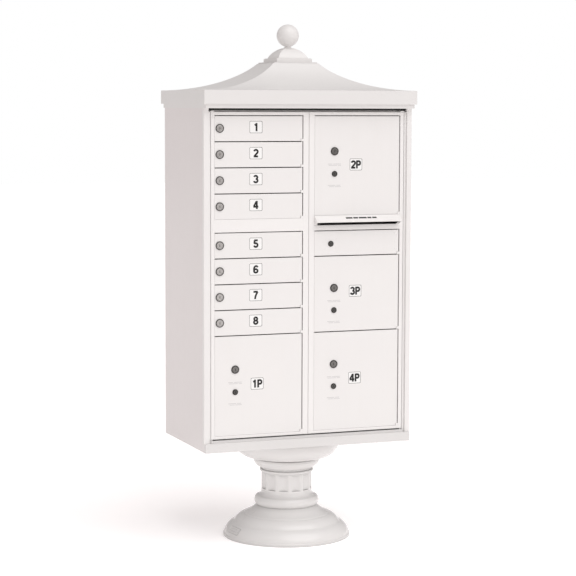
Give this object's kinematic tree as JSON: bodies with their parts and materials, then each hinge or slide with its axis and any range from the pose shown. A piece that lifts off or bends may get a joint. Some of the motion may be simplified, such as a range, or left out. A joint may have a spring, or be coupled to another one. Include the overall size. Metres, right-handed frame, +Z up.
{
  "type": "cluster mailbox unit",
  "caption": "Pedestal-mounted cluster mailbox with tenant doors, parcel lockers and an outgoing mail slot, under a pagoda cap with a ball finial.",
  "frame": {"origin": "on the ground, under the middle of the cap", "axes": "+Z up; the doors face -Y; +X to the right when facing the doors"},
  "size_m": [0.789, 0.489, 1.8333],
  "materials": {
    "white_cabinet": "satin white powder coat",
    "white_cap": "satin white powder coat on a casting",
    "white_frames": "satin white powder coat",
    "white_doors": "satin white powder coat",
    "white_pedestal": "semi-gloss white powder coat on a casting",
    "bare_rack": "mill-finish sheet",
    "galvanised_plate": "bare plate",
    "zinc_hardware": "zinc plated",
    "lock_steel": "nickel plated",
    "black_rubber": "matt",
    "black_plastic": "moulded"
  },
  "bodies": {
    "cabinet": {"pedestal_base_plate": "galvanised_plate", "pedestal_post": "galvanised_plate", "pedestal_top_plate": "galvanised_plate", "pedestal_bolts": "zinc_hardware", "pedestal_cover_front": "white_pedestal", "pedestal_cover_rear": "white_pedestal", "pedestal_cover_clips": "white_pedestal", "left_side_panel": "white_cabinet", "right_side_panel": "white_cabinet", "back_panel": "white_cabinet", "top_panel": "bare_rack", "floor_panel": "bare_rack", "left_jamb": "white_cabinet", "right_jamb": "white_cabinet", "header_rail": "white_cabinet", "header_gasket": "black_rubber", "sill_panel": "white_cabinet", "left_compartment_rack": "bare_rack", "right_compartment_rack": "bare_rack", "cap_collar": "white_cap", "cap_fascia": "white_cap", "cap_roof": "white_cap", "cap_crown": "white_cap", "finial": "white_cap"},
    "left_master": {"left_master_door": "white_frames"},
    "right_master": {"right_master_door": "white_frames", "mail_slot_hood": "white_frames", "mail_slot_liner": "black_plastic"},
    "master_latch": {"master_latch_bar": "zinc_hardware"},
    "tenant_1": {"tenant_door_1": "white_doors"},
    "tenant_cam_1": {"tenant_lock_cam_1": "lock_steel"},
    "tenant_2": {"tenant_door_2": "white_doors"},
    "tenant_cam_2": {"tenant_lock_cam_2": "lock_steel"},
    "tenant_3": {"tenant_door_3": "white_doors"},
    "tenant_cam_3": {"tenant_lock_cam_3": "lock_steel"},
    "tenant_4": {"tenant_door_4": "white_doors"},
    "tenant_cam_4": {"tenant_lock_cam_4": "lock_steel"},
    "tenant_5": {"tenant_door_5": "white_doors"},
    "tenant_cam_5": {"tenant_lock_cam_5": "lock_steel"},
    "tenant_6": {"tenant_door_6": "white_doors"},
    "tenant_cam_6": {"tenant_lock_cam_6": "lock_steel"},
    "tenant_7": {"tenant_door_7": "white_doors"},
    "tenant_cam_7": {"tenant_lock_cam_7": "lock_steel"},
    "tenant_8": {"tenant_door_8": "white_doors"},
    "tenant_cam_8": {"tenant_lock_cam_8": "lock_steel"},
    "parcel_1": {"parcel_door_1": "white_doors"},
    "parcel_key_1": {"parcel_key_cam_1": "lock_steel"},
    "parcel_carrier_1": {"parcel_carrier_cam_1": "lock_steel"},
    "parcel_2": {"parcel_door_2": "white_doors"},
    "parcel_key_2": {"parcel_key_cam_2": "lock_steel"},
    "parcel_carrier_2": {"parcel_carrier_cam_2": "lock_steel"},
    "parcel_3": {"parcel_door_3": "white_doors"},
    "parcel_key_3": {"parcel_key_cam_3": "lock_steel"},
    "parcel_carrier_3": {"parcel_carrier_cam_3": "lock_steel"},
    "parcel_4": {"parcel_door_4": "white_doors"},
    "parcel_key_4": {"parcel_key_cam_4": "lock_steel"},
    "parcel_carrier_4": {"parcel_carrier_cam_4": "lock_steel"},
    "collection": {"collection_door": "white_doors"},
    "collection_cam": {"collection_lock_cam": "lock_steel"}
  },
  "joints": [
    {"name": "left_master_hinge", "type": "hinge", "parent": "cabinet", "child": "left_master", "pos_m": [-0.3555, -0.205, 0.9554], "axis": [0, 0, -1], "range_deg": [0, 90]},
    {"name": "right_master_hinge", "type": "hinge", "parent": "cabinet", "child": "right_master", "pos_m": [0.3555, -0.205, 0.9554], "axis": [0, 0, 1], "range_deg": [0, 90]},
    {"name": "master_latch_slide", "type": "slide", "parent": "right_master", "child": "master_latch", "axis": [0, 0, 1], "range_m": [0, 0.012]},
    {"name": "tenant_1_hinge", "type": "hinge", "parent": "left_master", "child": "tenant_1", "pos_m": [-0.0268, -0.2053, 1.46965], "axis": [0, 0, 1], "range_deg": [0, 110]},
    {"name": "tenant_cam_1_turn", "type": "hinge", "parent": "tenant_1", "child": "tenant_cam_1", "pos_m": [-0.3274, -0.1885, 1.46965], "axis": [0, 1, 0], "range_deg": [0, 90]},
    {"name": "tenant_2_hinge", "type": "hinge", "parent": "left_master", "child": "tenant_2", "pos_m": [-0.0268, -0.2053, 1.38075], "axis": [0, 0, 1], "range_deg": [0, 110]},
    {"name": "tenant_cam_2_turn", "type": "hinge", "parent": "tenant_2", "child": "tenant_cam_2", "pos_m": [-0.3274, -0.1885, 1.38075], "axis": [0, 1, 0], "range_deg": [0, 90]},
    {"name": "tenant_3_hinge", "type": "hinge", "parent": "left_master", "child": "tenant_3", "pos_m": [-0.0268, -0.2053, 1.29185], "axis": [0, 0, 1], "range_deg": [0, 110]},
    {"name": "tenant_cam_3_turn", "type": "hinge", "parent": "tenant_3", "child": "tenant_cam_3", "pos_m": [-0.3274, -0.1885, 1.29185], "axis": [0, 1, 0], "range_deg": [0, 90]},
    {"name": "tenant_4_hinge", "type": "hinge", "parent": "left_master", "child": "tenant_4", "pos_m": [-0.0268, -0.2053, 1.20295], "axis": [0, 0, 1], "range_deg": [0, 110]},
    {"name": "tenant_cam_4_turn", "type": "hinge", "parent": "tenant_4", "child": "tenant_cam_4", "pos_m": [-0.3274, -0.1885, 1.20295], "axis": [0, 1, 0], "range_deg": [0, 90]},
    {"name": "tenant_5_hinge", "type": "hinge", "parent": "left_master", "child": "tenant_5", "pos_m": [-0.0268, -0.2053, 1.06975], "axis": [0, 0, 1], "range_deg": [0, 110]},
    {"name": "tenant_cam_5_turn", "type": "hinge", "parent": "tenant_5", "child": "tenant_cam_5", "pos_m": [-0.3274, -0.1885, 1.06975], "axis": [0, 1, 0], "range_deg": [0, 90]},
    {"name": "tenant_6_hinge", "type": "hinge", "parent": "left_master", "child": "tenant_6", "pos_m": [-0.0268, -0.2053, 0.98085], "axis": [0, 0, 1], "range_deg": [0, 110]},
    {"name": "tenant_cam_6_turn", "type": "hinge", "parent": "tenant_6", "child": "tenant_cam_6", "pos_m": [-0.3274, -0.1885, 0.98085], "axis": [0, 1, 0], "range_deg": [0, 90]},
    {"name": "tenant_7_hinge", "type": "hinge", "parent": "left_master", "child": "tenant_7", "pos_m": [-0.0268, -0.2053, 0.89195], "axis": [0, 0, 1], "range_deg": [0, 110]},
    {"name": "tenant_cam_7_turn", "type": "hinge", "parent": "tenant_7", "child": "tenant_cam_7", "pos_m": [-0.3274, -0.1885, 0.89195], "axis": [0, 1, 0], "range_deg": [0, 90]},
    {"name": "tenant_8_hinge", "type": "hinge", "parent": "left_master", "child": "tenant_8", "pos_m": [-0.0268, -0.2053, 0.80305], "axis": [0, 0, 1], "range_deg": [0, 110]},
    {"name": "tenant_cam_8_turn", "type": "hinge", "parent": "tenant_8", "child": "tenant_cam_8", "pos_m": [-0.3274, -0.1885, 0.80305], "axis": [0, 1, 0], "range_deg": [0, 90]},
    {"name": "parcel_1_hinge", "type": "hinge", "parent": "left_master", "child": "parcel_1", "pos_m": [-0.0268, -0.2053, 0.5843], "axis": [0, 0, 1], "range_deg": [0, 110]},
    {"name": "parcel_key_1_turn", "type": "hinge", "parent": "parcel_1", "child": "parcel_key_1", "pos_m": [-0.2712, -0.1885, 0.6399], "axis": [0, -1, 0], "range_deg": [0, 90]},
    {"name": "parcel_carrier_1_turn", "type": "hinge", "parent": "parcel_1", "child": "parcel_carrier_1", "pos_m": [-0.2712, -0.1885, 0.5614], "axis": [0, 1, 0], "range_deg": [0, 90]},
    {"name": "parcel_2_hinge", "type": "hinge", "parent": "right_master", "child": "parcel_2", "pos_m": [0.3402, -0.2053, 1.34025], "axis": [0, 0, 1], "range_deg": [0, 90]},
    {"name": "parcel_key_2_turn", "type": "hinge", "parent": "parcel_2", "child": "parcel_key_2", "pos_m": [0.0958, -0.1885, 1.3894], "axis": [0, -1, 0], "range_deg": [0, 90]},
    {"name": "parcel_carrier_2_turn", "type": "hinge", "parent": "parcel_2", "child": "parcel_carrier_2", "pos_m": [0.0958, -0.1885, 1.3109], "axis": [0, 1, 0], "range_deg": [0, 90]},
    {"name": "parcel_3_hinge", "type": "hinge", "parent": "right_master", "child": "parcel_3", "pos_m": [0.3402, -0.2053, 0.89195], "axis": [0, 0, 1], "range_deg": [0, 90]},
    {"name": "parcel_key_3_turn", "type": "hinge", "parent": "parcel_3", "child": "parcel_key_3", "pos_m": [0.0958, -0.1885, 0.9114], "axis": [0, -1, 0], "range_deg": [0, 90]},
    {"name": "parcel_carrier_3_turn", "type": "hinge", "parent": "parcel_3", "child": "parcel_carrier_3", "pos_m": [0.0958, -0.1885, 0.8334], "axis": [0, 1, 0], "range_deg": [0, 90]},
    {"name": "parcel_4_hinge", "type": "hinge", "parent": "right_master", "child": "parcel_4", "pos_m": [0.3402, -0.2053, 0.5843], "axis": [0, 0, 1], "range_deg": [0, 90]},
    {"name": "parcel_key_4_turn", "type": "hinge", "parent": "parcel_4", "child": "parcel_key_4", "pos_m": [0.0958, -0.1885, 0.6424], "axis": [0, -1, 0], "range_deg": [0, 90]},
    {"name": "parcel_carrier_4_turn", "type": "hinge", "parent": "parcel_4", "child": "parcel_carrier_4", "pos_m": [0.0958, -0.1885, 0.5639], "axis": [0, 1, 0], "range_deg": [0, 90]},
    {"name": "collection_hinge", "type": "hinge", "parent": "right_master", "child": "collection", "pos_m": [0.3402, -0.2053, 1.06975], "axis": [0, 0, 1], "range_deg": [0, 90]},
    {"name": "collection_cam_turn", "type": "hinge", "parent": "collection", "child": "collection_cam", "pos_m": [0.083, -0.1885, 1.0669], "axis": [0, -1, 0], "range_deg": [0, 90]}
  ]
}
